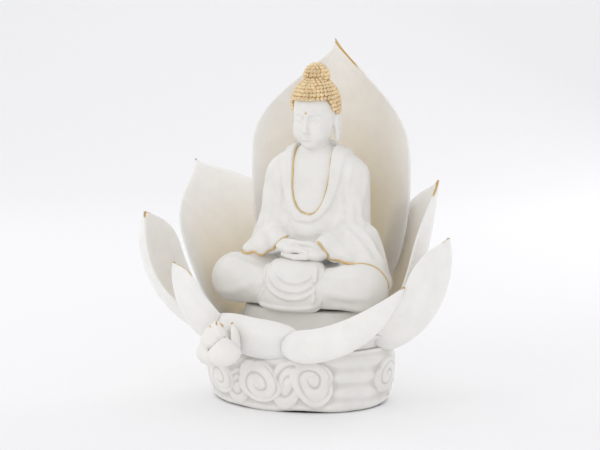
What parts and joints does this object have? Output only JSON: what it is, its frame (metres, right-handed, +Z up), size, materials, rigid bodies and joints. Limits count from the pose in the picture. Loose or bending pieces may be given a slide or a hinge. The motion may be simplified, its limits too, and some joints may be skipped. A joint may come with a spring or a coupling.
{
  "type": "tabletop water fountain",
  "caption": "Tabletop fountain: a seated figure in robes on a lotus flower over a cloud-carved water tank, with a small pump, a hose and a spout behind the figure.",
  "frame": {"origin": "middle of the foam pad's underside, on the table", "axes": "+Z up, the figure faces -Y, +X is the viewer's right when facing the figure"},
  "size_m": [0.2507, 0.1863, 0.2705],
  "materials": {
    "white_resin": "satin off-white, cast resin or bisque porcelain",
    "gold_paint": "satin gold paint on the cast curls",
    "foam_pad": "matt foam rubber",
    "pump_plastic": "matt black moulded",
    "grey_plastic": "matt grey moulded",
    "stator_steel": "stacked laminations",
    "coil_copper": "enamelled copper winding",
    "potting": "cast epoxy",
    "shaft_ceramic": "ground ceramic rod",
    "rubber": "moulded soft rubber",
    "ferrite": "sintered ferrite",
    "clear_hose": "clear soft tube",
    "steel": "plated",
    "lead_jacket": "matt cable jacket"
  },
  "bodies": {
    "base": {"base_pad": "foam_pad", "cloud_base": "white_resin", "lotus_bowl": "white_resin", "petal_front_right": "white_resin", "petal_front": "white_resin", "petal_front_left": "white_resin", "petal_left": "white_resin", "petal_right": "white_resin", "petal_rear_left": "white_resin", "petal_rear_right": "white_resin", "petal_back": "white_resin", "bud_petal_left": "white_resin", "bud_petal_right": "white_resin", "bud_petal_inner": "white_resin", "bud_heart": "white_resin", "pump_body": "pump_plastic", "pump_stator": "stator_steel", "pump_coil": "coil_copper", "pump_potting": "potting", "pump_shaft": "shaft_ceramic", "pump_bush_rear": "rubber", "suction_cup_1": "rubber", "suction_cup_2": "rubber", "suction_cup_3": "rubber", "suction_cup_4": "rubber", "riser_hose": "clear_hose", "spout": "white_resin", "power_inlet": "pump_plastic", "inlet_nut": "steel", "pump_lead": "lead_jacket"},
    "seat": {"seat": "white_resin"},
    "figure": {"figure_robe": "white_resin", "figure_head": "white_resin", "figure_hands": "white_resin", "figure_lap_cloth": "white_resin", "figure_hair": "gold_paint"},
    "pump_cover": {"pump_cover": "pump_plastic", "pump_bush_front": "rubber"},
    "flow_regulator": {"flow_regulator": "grey_plastic"},
    "rotor": {"impeller": "grey_plastic", "rotor_magnet": "ferrite"}
  },
  "joints": [
    {"name": "seat_lift", "type": "slide", "parent": "base", "child": "seat", "axis": [0, 0, 1], "range_m": [0, 0.22]},
    {"name": "figure_lift", "type": "slide", "parent": "seat", "child": "figure", "axis": [0, 0, 1], "range_m": [0, 0.205]},
    {"name": "pump_cover_slide", "type": "slide", "parent": "base", "child": "pump_cover", "axis": [-1, 0, 0], "range_m": [0, 0.012]},
    {"name": "flow_regulator_slide", "type": "slide", "parent": "pump_cover", "child": "flow_regulator", "axis": [0, 0, 1], "range_m": [0, 0.005]},
    {"name": "impeller_spin", "type": "hinge", "parent": "base", "child": "rotor", "pos_m": [0, 0.004, 0.026], "axis": [1, 0, 0], "continuous": true}
  ]
}
